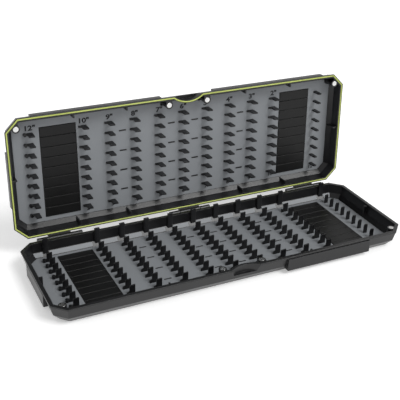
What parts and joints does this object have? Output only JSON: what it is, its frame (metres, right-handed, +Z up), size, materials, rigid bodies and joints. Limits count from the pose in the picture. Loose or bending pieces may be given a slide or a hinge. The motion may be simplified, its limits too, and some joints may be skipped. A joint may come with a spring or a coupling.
{
  "type": "hooklength box",
  "caption": "Slim hinged storage case with peg columns at whole-inch spacings, foam pads, grey liners, a lime rim seal and magnetic closing, shown lying open.",
  "frame": {"origin": "middle of the flat underside of the base tray", "axes": "+X along the length to the right, +Y from the finger scoop to the hinge, +Z up"},
  "size_m": [0.3554, 0.1469, 0.138],
  "materials": {
    "black_moulding": "fine moulded texture",
    "grey_sheet": "smooth matt sheet",
    "black_pegs": "satin moulding",
    "black_foam": "cut closed-cell foam",
    "nickel": "polished nickel plate",
    "lime_seal": "soft satin",
    "steel_wire": "drawn wire"
  },
  "bodies": {
    "base": {"base_tray": "black_moulding", "base_liner": "grey_sheet", "base_pegs_12": "black_pegs", "base_pegs_10": "black_pegs", "base_pegs_9": "black_pegs", "base_pegs_8": "black_pegs", "base_pegs_7": "black_pegs", "base_pegs_6": "black_pegs", "base_pegs_5": "black_pegs", "base_pegs_4": "black_pegs", "base_pegs_3": "black_pegs", "base_pegs_2": "black_pegs", "base_pegs_0": "black_pegs", "base_foam_left": "black_foam", "base_magnet_inner_left": "nickel", "base_magnet_corner_left": "nickel", "base_foam_right": "black_foam", "base_magnet_inner_right": "nickel", "base_magnet_corner_right": "nickel", "hinge_pin_left": "steel_wire", "hinge_pin_centre": "steel_wire", "hinge_pin_right": "steel_wire"},
    "lid": {"lid_tray": "black_moulding", "lid_liner": "grey_sheet", "lid_pegs_12": "black_pegs", "lid_pegs_10": "black_pegs", "lid_pegs_9": "black_pegs", "lid_pegs_8": "black_pegs", "lid_pegs_7": "black_pegs", "lid_pegs_6": "black_pegs", "lid_pegs_5": "black_pegs", "lid_pegs_4": "black_pegs", "lid_pegs_3": "black_pegs", "lid_pegs_2": "black_pegs", "lid_pegs_0": "black_pegs", "lid_foam_left": "black_foam", "lid_magnet_inner_left": "nickel", "lid_magnet_corner_left": "nickel", "lid_foam_right": "black_foam", "lid_magnet_inner_right": "nickel", "lid_magnet_corner_right": "nickel", "lid_seal": "lime_seal"}
  },
  "joints": [
    {"name": "lid_hinge", "type": "hinge", "parent": "base", "child": "lid", "pos_m": [0, 0.06225, 0.0165], "axis": [1, 0, 0], "range_deg": [0, 92.4]}
  ]
}
